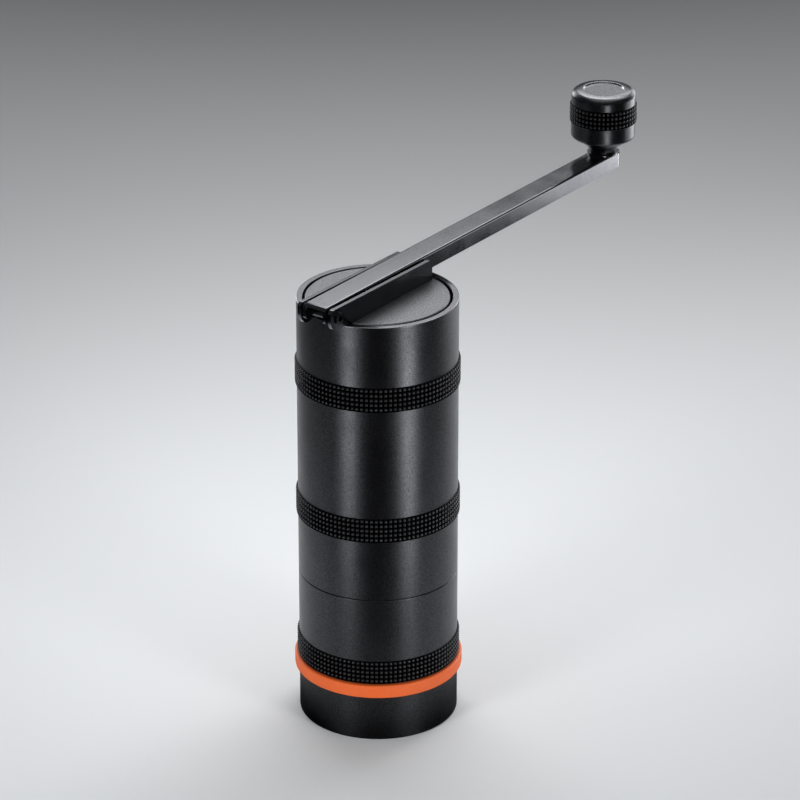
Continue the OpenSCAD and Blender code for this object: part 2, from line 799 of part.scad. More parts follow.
// Side outline of the arm: its tail is rounded, so that it clears the bracket's floor as it folds
function arm_side() = let (x0 = pin_x - tail_l)
    concat([[arm_end, 0], [arm_end, arm_h]],
        arc([x0 + tail_round, arm_h - tail_round], tail_round, 90, 180),
        arc([x0 + tail_in, tail_in], tail_in, 180, 270));

// Plan of the arm: the two corners past the knob are rounded
function arm_plan() = let (x0 = pin_x - tail_l, w = arm_w / 2, c = arm_corner) concat(
    [[x0, w], [x0, -w]], arc([arm_end - c, c - w], c, -90, 0), arc([arm_end - c, w - c], c, 0, 90));

// The arm: a channel that is open below, and solid at the knob
module crank_arm() {
    x0 = pin_x - tail_l;
    color("#1b1c1e") translate([0, 0, rim_z + arm_bottom]) difference() {
        intersection() {
            translate([x0, 0, 0]) rotate([90, 0, 90])
                linear_extrude(arm_end - x0) polygon(arm_section());
            translate([0, arm_w, 0]) rotate([90, 0, 0])
                linear_extrude(2 * arm_w) polygon(arm_side());
            linear_extrude(arm_h) polygon(arm_plan());
        }
        translate([x0 - cut, arm_t - arm_w / 2, -cut])
            cube([arm_end - x0 - solid_l + cut, arm_w - 2 * arm_t, arm_h - arm_t + cut]);
        translate([pin_x, 0, pin_rise]) rotate([90, 0, 0])
            cylinder(r = pin_r + run, h = arm_w + cut, center = true, $fn = small);
        translate([arm_reach, 0, -cut])
            cylinder(r = stud_r + press, h = arm_h + 2 * cut, $fn = small);
    }
}

/* Knob */

// The axle: a stud in the arm with a head inside the knob
module knob_axle() {
    head_z = knob_floor + free;
    color("#c3c6ca") translate([arm_reach, 0, 0]) {
        translate([0, 0, arm_top_z - arm_h + stud_short])
            cylinder(r = stud_r, h = arm_h - stud_short, $fn = small);
        translate([0, 0, arm_top_z]) cylinder(r = axle_r, h = head_z - arm_top_z, $fn = small);
        translate([0, 0, head_z]) cylinder(r = axle_head_r, h = axle_head_h, $fn = small);
    }
}

// The washer between the arm and the knob
module knob_washer() {
    color("#8d9095") translate([arm_reach, 0, 0])
        pipe(neck_d / 2 + washer_lip, axle_r + press, arm_top_z + press, arm_top_z + washer_h);
}

// The two plain bushes that the knob turns on
module knob_bushes() {
    color("#c9a45c") translate([arm_reach, 0, 0]) for (z = [knob_z, knob_floor - bush_l])
        pipe(bush_r, axle_r + run, z, z + bush_l);
}

// The knob: a neck that flares into a round grip with a knurled band, turned in one piece
module knob_body() {
    r = knob_d / 2;
    neck_r = neck_d / 2;
    flare_z = arm_top_z + knob_neck_l;
    foot_z = arm_top_z + knob_foot_rise;
    pocket_r = axle_head_r + cap_ledge;
    cap_z = knob_top - cap_h;
    color("#17181a") translate([arm_reach, 0, 0]) turned(concat(
        [[bush_r + press, knob_z], [neck_r, knob_z]],
        arc([neck_r + knob_flare_r, flare_z], knob_flare_r, 180, 90 + knob_cone),
        arc([r - knob_foot, foot_z], knob_foot, -85, 0),
        band_outline(r, knob_band_out, arm_top_z + knob_band_rise, knob_band_h, knob_band_rows),
        arc([r - knob_lip, knob_top - knob_lip], knob_lip, 0, 90),
        [[cap_d / 2 + press, knob_top], [cap_d / 2 + press, cap_z], [pocket_r, cap_z],
            [pocket_r, knob_floor], [bush_r + press, knob_floor]]));
}

// The dished cap pressed into the knob's top
module knob_cap() {
    r = cap_d / 2;
    bottom = knob_top - cap_h + press;
    color("#2a2b2e") translate([arm_reach, 0, 0])
        turned([[0, bottom], [r, bottom], [r, knob_top - cap_drop],
            [r - cap_edge, knob_top - 3 * cap_drop], [0, knob_top - cap_dish]]);
}

body_tube();
upper_bearing_bridge();
upper_bearing_outer_race();
upper_bearing_balls();
upper_bearing_inner_race();
burr_carrier();
lower_bearing_outer_race();
lower_bearing_balls();
lower_bearing_inner_race();
ring_burr();
burr_lock_ring();
grounds_cup();
silicone_ring();
drive_shaft();
shaft_collar();
spacer_sleeve();
cone_burr();
burr_spring();
click_plate();
detent_balls();
detent_springs();
grind_dial();
lid();
drive_socket();
lid_magnet();
lid_bracket();
bracket_screws();
thrust_washers();
hinge_pin();
hinge_screw();
crank_arm();
knob_axle();
knob_washer();
knob_bushes();
knob_body();
knob_cap();
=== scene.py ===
"""A hand crank coffee grinder: its CAD solids dressed with anodised, knurled and ground finishes.

Shapes are worked out in mm, from the sizes of the CAD solids, and turned to metres where a mesh is made.
"""
import math

import bmesh
import bpy
import numpy as np
from mathutils import Euler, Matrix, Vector


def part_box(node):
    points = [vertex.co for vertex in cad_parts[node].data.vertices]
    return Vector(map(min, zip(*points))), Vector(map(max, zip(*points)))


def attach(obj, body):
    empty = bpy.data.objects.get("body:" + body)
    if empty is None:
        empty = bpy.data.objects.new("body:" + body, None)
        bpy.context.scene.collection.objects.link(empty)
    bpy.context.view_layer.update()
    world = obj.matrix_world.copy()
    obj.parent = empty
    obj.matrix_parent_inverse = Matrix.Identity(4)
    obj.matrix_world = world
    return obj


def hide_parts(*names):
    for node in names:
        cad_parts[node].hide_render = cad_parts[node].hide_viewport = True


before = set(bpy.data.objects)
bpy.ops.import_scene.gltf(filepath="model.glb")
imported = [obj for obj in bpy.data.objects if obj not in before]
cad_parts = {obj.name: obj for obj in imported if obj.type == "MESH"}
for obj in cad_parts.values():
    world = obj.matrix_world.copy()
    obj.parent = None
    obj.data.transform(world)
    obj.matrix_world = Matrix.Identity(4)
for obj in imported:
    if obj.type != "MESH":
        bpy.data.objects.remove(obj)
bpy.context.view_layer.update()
MM = 0.001
TURN = 2 * math.pi
SHARP = math.radians(32)        # an edge that turns by more than this keeps its line


# ---------------------------------------------------------------- the CAD's own sizes, in mm

def reach(node):
    """The lowest and the highest corner of a CAD node, in mm."""
    low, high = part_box(node)
    return np.array(low) / MM, np.array(high) / MM


tube_low, tube_high = reach("body_tube")
cup_high = reach("grounds_cup")[1]
knob_low, knob_high = reach("knob_body")
cap_low, cap_high = reach("knob_cap")
silicone_low, silicone_high = reach("silicone_ring")

BAND_PROUD = 0.7                # how far a knurled band stands out of the wall
TUBE_WALL = 1.95
NECK_GAP = 0.04                 # between the cup's neck and the tube's bore
BODY_R = tube_high[0] - BAND_PROUD
BORE_R = BODY_R - TUBE_WALL
RIM_Z = tube_high[2]
SEAM_Z = tube_low[2]
CUP_R = cup_high[0] - BAND_PROUD
NECK_R = BORE_R - NECK_GAP
NECK_TOP = cup_high[2]
BAND_H = 8.5
UPPER_BAND_Z = RIM_Z - 20.8 - BAND_H
MIDDLE_BAND_Z = SEAM_Z + 20.6
CUP_BAND_H = 8.2
CUP_BAND_Z = silicone_high[2] + 0.12

KNOB_PROUD = 0.6                # the same for the knob's own band
KNOB_X = (knob_low[0] + knob_high[0]) / 2
KNOB_R = knob_high[0] - KNOB_X - KNOB_PROUD
KNOB_TOP = knob_high[2]
ARM_TOP = KNOB_TOP - 23
KNOB_BAND_H = 6.7
KNOB_BAND_Z = ARM_TOP + 11.7


# ---------------------------------------------------------------- meshes

def solid(name, points, faces, crown=None):
    """A mesh from points in mm and four-sided faces, with its doubles merged and its sharp edges kept.

    crown says for each point how far up a pad it lies, from 0 in the groove to 1 on top, and goes to the
    material, which darkens the grooves with it as painted shade and dirt.
    """
    mesh = bpy.data.meshes.new(name)
    mesh.from_pydata((np.asarray(points) * MM).tolist(), [], np.asarray(faces).tolist())
    if crown is not None:
        mesh.attributes.new("crown", "FLOAT", "POINT").data.foreach_set("value", crown.reshape(-1))

    work = bmesh.new()
    work.from_mesh(mesh)
    bmesh.ops.remove_doubles(work, verts=work.verts, dist=1e-7)
    bmesh.ops.dissolve_degenerate(work, edges=work.edges, dist=1e-8)
    bmesh.ops.recalc_face_normals(work, faces=work.faces)
    work.to_mesh(mesh)
    work.free()
    mesh.shade_smooth()
    mesh.set_sharp_from_angle(angle=SHARP)
    piece = bpy.data.objects.new(name, mesh)
    bpy.context.scene.collection.objects.link(piece)
    return piece


def grid_faces(rows, columns, close_rows, close_columns):
    """The quads of a grid of points, which may close on itself in either direction."""
    i, j = np.meshgrid(np.arange(rows if close_rows else rows - 1),
                       np.arange(columns if close_columns else columns - 1), indexing="ij")
    a, b = i * columns + j, i * columns + (j + 1) % columns
    c, d = (i + 1) % rows * columns + (j + 1) % columns, (i + 1) % rows * columns + j
    return np.stack([a, b, c, d], -1).reshape(-1, 4)


def rounded(corners, steps=5):
    """An outline with its corners rounded: each corner is (r, z, radius), and its arc touches both sides.

    A point just off each end of an arc keeps the flat wall beside it flat to the eye.
    """
    just_off = 0.04
    points = []
    count = len(corners)
    for k, (x, z, radius) in enumerate(corners):
        here = np.array([x, z], float)
        back = np.array(corners[k - 1][:2], float) - here
        on = np.array(corners[(k + 1) % count][:2], float) - here
        if radius == 0:
            points.append(here)
            continue
        back, on = back / np.linalg.norm(back), on / np.linalg.norm(on)
        half = math.acos(np.clip(back @ on, -1, 1)) / 2
        centre = here + (back + on) / np.linalg.norm(back + on) * radius / math.sin(half)
        start = here + back * radius / math.tan(half) - centre
        end = here + on * radius / math.tan(half) - centre
        sweep = math.atan2(start[0] * end[1] - start[1] * end[0], start @ end)
        points.append(centre + start + back * just_off)
        for t in np.linspace(0, 1, steps + 1):
            turn = sweep * t
            points.append(centre + [start[0] * math.cos(turn) - start[1] * math.sin(turn),
                                    start[0] * math.sin(turn) + start[1] * math.cos(turn)])
        points.append(centre + end + on * just_off)
    return np.array(points)


def turned(name, outline, x=0.0, around=192):
    """A turned piece: each point (r, z) of the closed outline runs round the axis at x.

    point(a) = (x + r cos a, r sin a, z).
    """
    a = np.linspace(0, TURN, around, endpoint=False)
    r, z = outline[:, 0][None, :], outline[:, 1][None, :]
    points = np.stack([x + r * np.cos(a)[:, None], r * np.sin(a)[:, None], z + 0 * a[:, None]], -1)
    return solid(name, points.reshape(-1, 3), grid_faces(around, len(outline), True, True))


# A knurl pad in section, from groove to groove: places and heights, both as shares of a whole pad
PAD = np.array([(0, 0), (0.13, 0), (0.21, 0.62), (0.31, 0.87), (0.5, 1), (0.69, 0.87), (0.79, 0.62), (0.87, 0)])


def pad_line(count):
    """Places, in pads, and heights, 0 to 1, along a row of pads: flat groove, steep flank, domed top."""
    places = np.arange(count)[:, None] + PAD[:, 0][None, :]
    return places.reshape(-1), np.tile(PAD[:, 1], count)


def knurled_ring(name, wall_r, top_r, low, high, columns, rows, x=0.0):
    """A knurled band cut as a square grid: r = root + (top - root) * pad(a) * pad(z).

    A narrow chamfer that faces down runs round below the pads, and the band's inner side lies inside the
    wall that it stands on.
    """
    root_r, inner_r, chamfer_r = wall_r + 0.05, wall_r - 0.35, top_r - 0.14
    pads_low = low + 0.42
    a, across = pad_line(columns)
    v, along = pad_line(rows)
    v, along = np.append(v, rows), np.append(along, 0)
    pads = across[:, None] * along[None, :]
    pads_r = root_r + (top_r - root_r) * pads
    pads_z = np.broadcast_to(pads_low + (high - pads_low) * v / rows, pads.shape)

    # Each row of points starts inside, comes out below, goes up the chamfer and in to the root under the pads.
    foot_r = [inner_r, wall_r, chamfer_r - 0.06, chamfer_r, chamfer_r, root_r]
    foot_z = [low, low, low + 0.27, low + 0.33, pads_low - 0.04, pads_low]
    foot_crown = [0, 1, 1, 1, 1, 0]
    rim = np.ones((len(a), 1))
    r = np.hstack([rim * foot_r, pads_r, rim * [root_r, inner_r]])
    z = np.hstack([rim * foot_z, pads_z, rim * [high, high]])
    crown = np.hstack([rim * foot_crown, pads, rim * [0, 0]])
    angle = (a / columns * TURN)[:, None]
    points = np.stack([x + r * np.cos(angle), r * np.sin(angle), z], -1)
    return solid(name, points.reshape(-1, 3), grid_faces(len(a), r.shape[1], True, True), crown)


def threaded(name, crest_r, root_r, inside_r, low, high, pitch):
    """A screw thread: r = crest + (root - crest) * groove(z / pitch - a / turn), a blunt V from 0 to 1.

    The first and last turns run out into the root, and the side that the thread doesn't face is a plain
    wall.
    """
    around, steps_a_pitch = 144, 8
    a = np.linspace(0, TURN, around, endpoint=False)
    z = np.linspace(low, high, int((high - low) / pitch * steps_a_pitch) + 1)
    phase = (z[None, :] / pitch - a[:, None] / TURN) % 1
    groove = np.clip(1.5 - np.abs(phase - 0.5) * 4, 0, 1)
    run_out = np.clip(1 - np.minimum(z - low, high - z) / (0.6 * pitch), 0, 1)[None, :]
    r = crest_r + (root_r - crest_r) * np.maximum(groove, run_out)
    wall = np.full((around, 1), inside_r)
    r = np.hstack([wall, r, wall])
    z = np.broadcast_to(np.concatenate([[low], z, [high]]), r.shape)
    points = np.stack([r * np.cos(a)[:, None], r * np.sin(a)[:, None], z], -1)
    return solid(name, points.reshape(-1, 3), grid_faces(around, r.shape[1], True, True))


# ---------------------------------------------------------------- materials

def linear(code):
    """An sRGB hex colour as linear RGBA."""
    values = [int(code[k:k + 2], 16) / 255 for k in (1, 3, 5)]
    return [c / 12.92 if c <= 0.04045 else ((c + 0.055) / 1.055) ** 2.4 for c in values] + [1.0]


def add(tree, kind, settings=(), inputs=(), links=()):
    """Adds a node: settings are its attributes, inputs its socket values, links its sockets' sources."""
    node = tree.nodes.new(kind)
    for key, value in dict(settings).items():
        setattr(node, key, value)
    for key, value in dict(inputs).items():
        node.inputs[key].default_value = value
    for key, source in dict(links).items():
        tree.links.new(source, node.inputs[key])
    return node


def material(name):
    """A new material, with its node tree and its Principled shader."""
    made = bpy.data.materials.new(name)
    made.use_nodes = True
    tree = made.node_tree
    shader = tree.nodes["Principled BSDF"]
    return made, tree, shader


def per_metre(size_mm):
    """Noise scale whose features are about size_mm across."""
    return 1 / (size_mm * MM)


def anodised(name, colour, flecks, roughness, lathe=0.0, grain_mm=0.45, pitting=0.3):
    """Black anodised aluminium, a metal seen through a dyed skin.

    Fine pits from blasting break its highlights into grain. Real pits are about 0.1 mm wide. They are drawn
    grain_mm wide, or they would be too fine to show. Where it was turned, the lathe's marks draw each
    highlight out along the axis and keep it narrow round the piece.
    """
    made, tree, shader = material(name)
    place = add(tree, "ShaderNodeTexCoord")
    grain = add(tree, "ShaderNodeTexNoise",
                inputs={"Scale": per_metre(grain_mm), "Detail": 3, "Roughness": 0.7},
                links={"Vector": place.outputs["Object"]})
    cloud = add(tree, "ShaderNodeTexNoise", inputs={"Scale": per_metre(9), "Detail": 2},
                links={"Vector": place.outputs["Object"]})
    tint = add(tree, "ShaderNodeValToRGB", links={"Fac": grain.outputs["Fac"]})
    tint.color_ramp.elements[0].position = 0.35
    tint.color_ramp.elements[0].color = linear(colour)
    tint.color_ramp.elements[1].position = 0.68
    tint.color_ramp.elements[1].color = linear(flecks)
    sheen = add(tree, "ShaderNodeMapRange",
                inputs={"From Min": 0.3, "From Max": 0.7,
                        "To Min": roughness - 0.03, "To Max": roughness + 0.03},
                links={"Value": cloud.outputs["Fac"]})
    pits = add(tree, "ShaderNodeBump", inputs={"Strength": pitting, "Distance": 0.03 * MM},
               links={"Height": grain.outputs["Fac"]})
    tree.links.new(tint.outputs["Color"], shader.inputs["Base Color"])
    tree.links.new(sheen.outputs["Result"], shader.inputs["Roughness"])
    tree.links.new(pits.outputs["Normal"], shader.inputs["Normal"])
    shader.inputs["Metallic"].default_value = 1.0
    if lathe:
        around = add(tree, "ShaderNodeTangent", {"direction_type": "RADIAL", "axis": "Z"})
        tree.links.new(around.outputs["Tangent"], shader.inputs["Tangent"])
        shader.inputs["Anisotropic"].default_value = lathe
        shader.inputs["Anisotropic Rotation"].default_value = 0.25
    return made


def knurled(name, groove, flank, top, roughness, lathe):
    """Knurled anodised aluminium: the cuts are painted dark with shade and dirt, and the pads are lighter and
    smoother.

    The grain on the pads is drawn 0.3 mm wide, three times the real one.
    """
    made, tree, shader = material(name)
    place = add(tree, "ShaderNodeTexCoord")
    crown = add(tree, "ShaderNodeAttribute", {"attribute_name": "crown"})
    # Painted shade and dirt: the colour darkens from the pads' grey to near black down in the grooves
    tint = add(tree, "ShaderNodeValToRGB", links={"Fac": crown.outputs["Fac"]})
    tint.color_ramp.elements[0].position = 0.05
    tint.color_ramp.elements[0].color = linear(groove)
    tint.color_ramp.elements[1].position = 0.97
    tint.color_ramp.elements[1].color = linear(top)
    tint.color_ramp.elements.new(0.6).color = linear(flank)
    sheen = add(tree, "ShaderNodeMapRange", inputs={"To Min": 0.7, "To Max": roughness},
                links={"Value": crown.outputs["Fac"]})
    grain = add(tree, "ShaderNodeTexNoise", inputs={"Scale": per_metre(0.3), "Detail": 2},
                links={"Vector": place.outputs["Object"]})
    pits = add(tree, "ShaderNodeBump", inputs={"Strength": 0.15, "Distance": 0.02 * MM},
               links={"Height": grain.outputs["Fac"]})
    around = add(tree, "ShaderNodeTangent", {"direction_type": "RADIAL", "axis": "Z"})
    tree.links.new(tint.outputs["Color"], shader.inputs["Base Color"])
    tree.links.new(sheen.outputs["Result"], shader.inputs["Roughness"])
    tree.links.new(pits.outputs["Normal"], shader.inputs["Normal"])
    tree.links.new(around.outputs["Tangent"], shader.inputs["Tangent"])
    shader.inputs["Metallic"].default_value = 1.0
    shader.inputs["Anisotropic"].default_value = lathe
    shader.inputs["Anisotropic Rotation"].default_value = 0.25
    return made


def ground_metal(name, colour, roughness):
    """Turned or ground metal: fine parallel marks stretch the highlights.

    The marks are drawn 0.15 mm wide and twenty times as long. Real ones are some hundredths of a millimetre
    wide and would not show.
    """
    made, tree, shader = material(name)
    place = add(tree, "ShaderNodeTexCoord")
    stretch = add(tree, "ShaderNodeMapping", inputs={"Scale": (1, 1, 0.05)},
                  links={"Vector": place.outputs["Object"]})
    marks = add(tree, "ShaderNodeTexNoise", inputs={"Scale": per_metre(0.15), "Detail": 2},
                links={"Vector": stretch.outputs["Vector"]})
    spread = add(tree, "ShaderNodeMapRange",
                 inputs={"From Min": 0.3, "From Max": 0.7,
                         "To Min": roughness - 0.06, "To Max": roughness + 0.08},
                 links={"Value": marks.outputs["Fac"]})
    scratch = add(tree, "ShaderNodeBump", inputs={"Strength": 0.15, "Distance": 0.01 * MM},
                  links={"Height": marks.outputs["Fac"]})
    tree.links.new(spread.outputs["Result"], shader.inputs["Roughness"])
    tree.links.new(scratch.outputs["Normal"], shader.inputs["Normal"])
    shader.inputs["Base Color"].default_value = linear(colour)
    shader.inputs["Metallic"].default_value = 1.0
    return made


def silicone(name, colour, shade):
    """Moulded silicone rubber: soft, slightly dusty, with a broad dull highlight.

    The dust's specks are drawn half a millimetre wide, coarser than real ones.
    """
    made, tree, shader = material(name)
    place = add(tree, "ShaderNodeTexCoord")
    dust = add(tree, "ShaderNodeTexNoise", inputs={"Scale": per_metre(0.5), "Detail": 4},
               links={"Vector": place.outputs["Object"]})
    tint = add(tree, "ShaderNodeValToRGB", links={"Fac": dust.outputs["Fac"]})
    tint.color_ramp.elements[0].position = 0.3
    tint.color_ramp.elements[0].color = linear(shade)
    tint.color_ramp.elements[1].position = 0.7
    tint.color_ramp.elements[1].color = linear(colour)
    skin = add(tree, "ShaderNodeBump", inputs={"Strength": 0.12, "Distance": 0.02 * MM},
               links={"Height": dust.outputs["Fac"]})
    tree.links.new(tint.outputs["Color"], shader.inputs["Base Color"])
    tree.links.new(skin.outputs["Normal"], shader.inputs["Normal"])
    shader.inputs["Roughness"].default_value = 0.55
    shader.inputs["Subsurface Weight"].default_value = 0.05
    shader.inputs["Subsurface Radius"].default_value = (0.002, 0.0008, 0.0004)
    return made


def moulded_plastic(name, colour, roughness):
    """Moulded nylon: matt black with the faint spark texture of its mould, whose grain is 0.3 mm wide."""
    made, tree, shader = material(name)
    place = add(tree, "ShaderNodeTexCoord")
    spark = add(tree, "ShaderNodeTexNoise", inputs={"Scale": per_metre(0.3), "Detail": 2},
                links={"Vector": place.outputs["Object"]})
    skin = add(tree, "ShaderNodeBump", inputs={"Strength": 0.2, "Distance": 0.02 * MM},
               links={"Height": spark.outputs["Fac"]})
    tree.links.new(skin.outputs["Normal"], shader.inputs["Normal"])
    shader.inputs["Base Color"].default_value = linear(colour)
    shader.inputs["Roughness"].default_value = roughness
    return made


# Turned and blasted walls: dull and finely grained, with long soft lights along the axis
black_body = anodised("black anodised, turned and blasted", "#3c3d40", "#5a5b5e", 0.38, lathe=0.41)
black_knob = anodised("black anodised, turned smooth", "#3c3d40", "#5a5b5e", 0.33, lathe=0.3, pitting=0.5)
# The lid's blasted face: coarse grain that sparkles where light grazes it
black_top = anodised("black anodised, faced and blasted", "#545558", "#8a8b8e", 0.4, grain_mm=0.55, pitting=1.0)
# Faces cut after blasting, on the rim, in the knob's dish and on its lip: brighter and almost without grain
black_rim = anodised("black anodised, faced", "#66676a", "#7c7d80", 0.22, pitting=0.2)
black_dish = anodised("black anodised, faced smooth", "#76777a", "#86878a", 0.26, pitting=0.35)
black_lip = anodised("black anodised, fine turned", "#66676a", "#77787b", 0.22, pitting=0.1)
# The arm and its bracket were linished flat, so they mirror the room in a soft, even tone
black_arm = anodised("black anodised, linished", "#66686c", "#727478", 0.16, pitting=0.12)
# The knurl: small domed pads that each hold a point of light, in grooves painted black with shade and dirt
black_knurl = knurled("black anodised, knurled", "#070708", "#2c2d2f", "#5a5b5e", 0.32, 0.45)
# Steels and bare aluminium, from dark chemical blacking to balls polished like a mirror
black_oxide = ground_metal("black oxide steel", "#55575a", 0.26)
bare_aluminium = ground_metal("turned aluminium", "#b9bbbf", 0.34)
ground_steel = ground_metal("ground steel", "#a3a5a8", 0.28)
burr_steel = ground_metal("hardened burr steel", "#8d8f92", 0.33)
bearing_steel = ground_metal("polished bearing steel", "#c4c6c8", 0.16)
spring_steel = ground_metal("spring steel", "#8f9194", 0.30)
# Sintered bronze, as in plain bushes: brown and slightly dull from its pores
sintered_bronze = ground_metal("sintered bronze", "#a8824e", 0.42)
# The grip ring's rubber and the dial's plastic: both matt, one a bright orange, one black
orange_silicone = silicone("orange silicone", "#ea6a2c", "#df5f24")
black_nylon = moulded_plastic("black nylon", "#1a1a1c", 0.5)

CAD_FINISH = {
    "body_tube": black_body, "grounds_cup": black_body, "knob_body": black_knob, "knob_cap": black_knob,
    "lid": black_top, "burr_lock_ring": black_top, "lid_bracket": black_arm, "crank_arm": black_arm,
    "bracket_screws": black_oxide, "thrust_washers": black_oxide, "hinge_pin": black_oxide,
    "hinge_screw": black_oxide, "knob_washer": black_oxide,
    "upper_bearing_bridge": bare_aluminium, "burr_carrier": bare_aluminium, "shaft_collar": bare_aluminium,
    "drive_shaft": ground_steel, "spacer_sleeve": ground_steel, "click_plate": ground_steel,
    "drive_socket": ground_steel, "knob_axle": ground_steel,
    "ring_burr": burr_steel, "cone_burr": burr_steel,
    "upper_bearing_outer_race": bearing_steel, "upper_bearing_inner_race": bearing_steel,
    "lower_bearing_outer_race": bearing_steel, "lower_bearing_inner_race": bearing_steel,
    "upper_bearing_balls": bearing_steel, "lower_bearing_balls": bearing_steel,
    "detent_balls": bearing_steel, "lid_magnet": bearing_steel,
    "burr_spring": spring_steel, "detent_springs": spring_steel,
    "knob_bushes": sintered_bronze, "silicone_ring": orange_silicone, "grind_dial": black_nylon,
}


def finish(piece, look):
    """Gives a piece one material in all its slots."""
    if not piece.data.materials:
        piece.data.materials.append(look)
    for k in range(len(piece.material_slots)):
        piece.material_slots[k].material = look


def stands_for(piece, node, body, look):
    """Puts a new piece of anodised aluminium in the place of a CAD node, or of a part of it."""
    finish(piece, look)
    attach(piece, body)
    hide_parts(node)


for node, look in CAD_FINISH.items():
    finish(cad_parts[node], look)


# ---------------------------------------------------------------- body and cup

FACED = 0.3                     # depth of the rim's bright face
THREAD = 0.4                    # depth of the thread between tube and cup
PITCH = 1.0
THREAD_LOW, THREAD_HIGH = SEAM_Z + 0.6, SEAM_Z + 6.6
THREAD_WALL = 0.2               # a thread's own piece reaches this far into the wall behind it
THREAD_CLEAR = 0.05             # and stays this far off the relief that it lies in
CUP_WALL, NECK_WALL, CUP_FLOOR = 2.6, 1.8, 3
SHOULDER_Z = NECK_TOP - 7       # where the cup's wall steps in to its neck
GROOVE = 0.8                    # depth of the groove that holds the silicone ring
groove_low, groove_high = silicone_low[2] - 0.02, silicone_high[2] + 0.02

tube_outline = rounded([
    (BORE_R, RIM_Z - FACED, 0), (BORE_R, THREAD_HIGH + 0.3, 0), (BORE_R + THREAD, THREAD_HIGH, 0),
    (BORE_R + THREAD, THREAD_LOW, 0), (BORE_R, THREAD_LOW - 0.3, 0), (BORE_R, SEAM_Z, 0.1),
    (BODY_R, SEAM_Z, 0.2), (BODY_R, RIM_Z - FACED, 0)])
rim_outline = rounded([
    (BORE_R, RIM_Z - FACED, 0), (BODY_R, RIM_Z - FACED, 0), (BODY_R, RIM_Z, 0.22), (BORE_R, RIM_Z, 0.15)])
cup_outline = rounded([
    (0, CUP_FLOOR, 0), (0, 0, 0), (CUP_R, 0, 0.6),
    (CUP_R, groove_low, 0.1), (CUP_R - GROOVE, groove_low, 0), (CUP_R - GROOVE, groove_high, 0),
    (CUP_R, groove_high, 0.1), (CUP_R, SHOULDER_Z, 0.3), (NECK_R, SHOULDER_Z, 0),
    (NECK_R, THREAD_LOW, 0), (NECK_R - THREAD, THREAD_LOW + 0.2, 0), (NECK_R - THREAD, NECK_TOP, 0.2),
    (NECK_R - NECK_WALL, NECK_TOP, 0.2), (NECK_R - NECK_WALL, SHOULDER_Z - 2, 0.2),
    (CUP_R - CUP_WALL, SHOULDER_Z - 4, 0.5), (CUP_R - CUP_WALL, CUP_FLOOR, 3)])

tube_shell = turned("tube_shell", tube_outline)
tube_thread = threaded("tube_thread", BORE_R, BORE_R + THREAD - THREAD_CLEAR, BORE_R + THREAD + THREAD_WALL,
                       THREAD_LOW, THREAD_HIGH, PITCH)
tube_rim = turned("tube_rim", rim_outline)
cup_shell = turned("cup_shell", cup_outline)
cup_thread = threaded("cup_thread", NECK_R, NECK_R - THREAD + THREAD_CLEAR, NECK_R - THREAD - THREAD_WALL,
                      THREAD_LOW + 0.1, NECK_TOP - 0.3, PITCH)
for piece, node, body, look in (
        (tube_shell, "body_tube", "body", black_body), (tube_thread, "body_tube", "body", black_body),
        (tube_rim, "body_tube", "body", black_rim), (cup_shell, "grounds_cup", "cup", black_body),
        (cup_thread, "grounds_cup", "cup", black_body)):
    stands_for(piece, node, body, look)

for name, node, body, wall_r, low, height in (
        ("upper_band", "body_tube", "body", BODY_R, UPPER_BAND_Z, BAND_H),
        ("middle_band", "body_tube", "body", BODY_R, MIDDLE_BAND_Z, BAND_H),
        ("cup_band", "grounds_cup", "cup", CUP_R, CUP_BAND_Z, CUP_BAND_H)):
    band = knurled_ring(name, wall_r, wall_r + BAND_PROUD, low, low + height, 108, 5)
    stands_for(band, node, body, black_knurl)


# ---------------------------------------------------------------- knob

BUSH_BORE_R = 3.22
POCKET_R = 4.4                  # round the head of the axle, under the dish
KNOB_NECK_R = 4.5
DISH_R, DISH_DEPTH = 6.5, 0.5
CREST_R = 7.35                  # where the top is highest
CROWN_R = 6.5                   # radius of the circle that the top rolls off along
SEAT_Z = KNOB_TOP - 2           # the dish's disc lies in the knob from here up
LIP_Z = KNOB_TOP - 0.3          # the knob's lip is fine turned above this
lip_r = cap_high[0] - KNOB_X


def crown(r):
    """Height of the knob's crowned top: z = top - (r - crest)^2 / (2 * circle), so it is level at the crest."""
    return KNOB_TOP - (r - CREST_R) ** 2 / (2 * CROWN_R)


knob_outline = rounded([
    (BUSH_BORE_R, knob_low[2], 0.1), (BUSH_BORE_R, KNOB_TOP - 6, 0), (POCKET_R, KNOB_TOP - 6, 0),
    (POCKET_R, SEAT_Z, 0), (lip_r, SEAT_Z, 0), (lip_r, crown(lip_r), 0),
    *[(r, crown(r), 0) for r in (8.1, 8.5, 8.9, 9.3)], (KNOB_R, KNOB_TOP - 0.75, 2.0),
    (KNOB_R, ARM_TOP + 6.2, 1.1), (KNOB_R - 1.3, ARM_TOP + 5.95, 0.25), (KNOB_NECK_R, ARM_TOP + 2.1, 3.2),
    (KNOB_NECK_R, knob_low[2], 0.1)], steps=8)
dish_outline = rounded([
    (0, KNOB_TOP - DISH_DEPTH, 0), (DISH_R, KNOB_TOP - DISH_DEPTH, 0.15), (DISH_R + 0.4, KNOB_TOP, 0.2),
    (CREST_R, KNOB_TOP, 0), (lip_r, crown(lip_r), 0), (lip_r, cap_low[2], 0.1), (0, cap_low[2], 0)])

knob_shell = turned("knob_shell", knob_outline, KNOB_X, 128)
knob_band = knurled_ring("knob_band", KNOB_R, KNOB_R + KNOB_PROUD, KNOB_BAND_Z, KNOB_BAND_Z + KNOB_BAND_H,
                         48, 4, KNOB_X)
knob_dish = turned("knob_dish", dish_outline, KNOB_X, 128)
stands_for(knob_shell, "knob_body", "knob", black_knob)
stands_for(knob_band, "knob_body", "knob", black_knurl)
stands_for(knob_dish, "knob_cap", "knob", black_dish)

